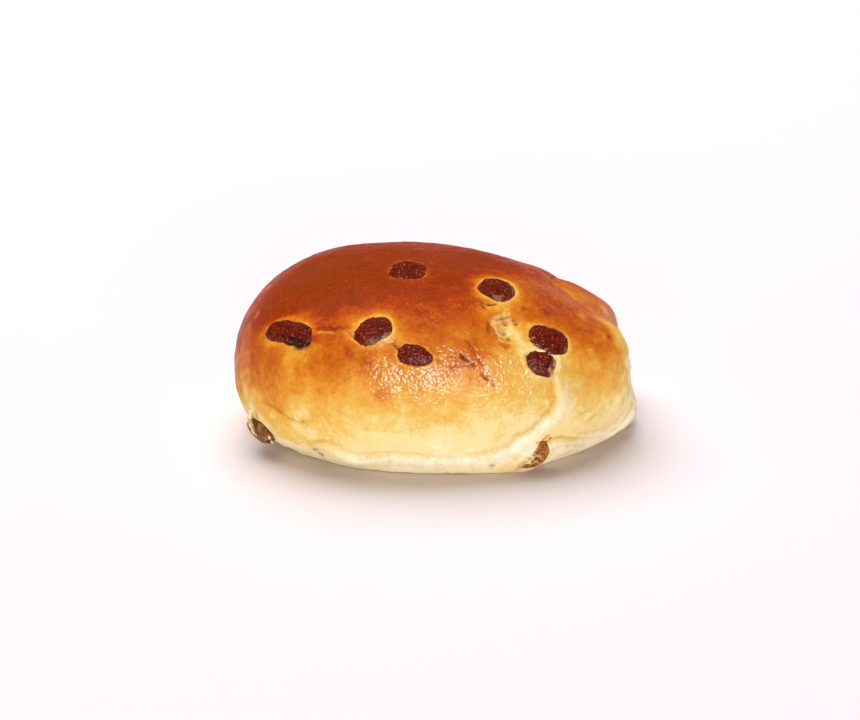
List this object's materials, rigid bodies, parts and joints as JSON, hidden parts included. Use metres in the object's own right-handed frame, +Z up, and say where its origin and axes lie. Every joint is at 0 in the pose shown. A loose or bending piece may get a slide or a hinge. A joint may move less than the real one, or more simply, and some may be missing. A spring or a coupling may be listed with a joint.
{
  "type": "raisin bun",
  "caption": "Oval sweet bun of soft baked dough with a glossy browned crust, a pale folded foot, one flat torn end and whole raisins set in the crust.",
  "frame": {"origin": "centre of the bun's outline on the plane it lies on", "axes": "+Z up from the flat underside, +X along the bun's length towards its flat torn end, -Y towards the side with the long fold"},
  "size_m": [0.1104, 0.0847, 0.0491],
  "materials": {
    "crust": "egg-glazed browned bread crust, satin, fading to pale matte dough at the foot",
    "raisin": "wrinkled dark red-brown raisin skin with a sticky sheen"
  },
  "bodies": {
    "root": {"dough": "crust", "raisin_top": "raisin", "raisin_top_right": "raisin", "raisin_left": "raisin", "raisin_front": "raisin", "raisin_middle": "raisin", "raisin_right": "raisin", "raisin_right_low": "raisin", "raisin_left_foot": "raisin", "raisin_front_foot": "raisin", "raisin_back_left": "raisin", "raisin_back_middle": "raisin", "raisin_back_right": "raisin", "raisin_back_low": "raisin"}
  },
  "joints": []
}
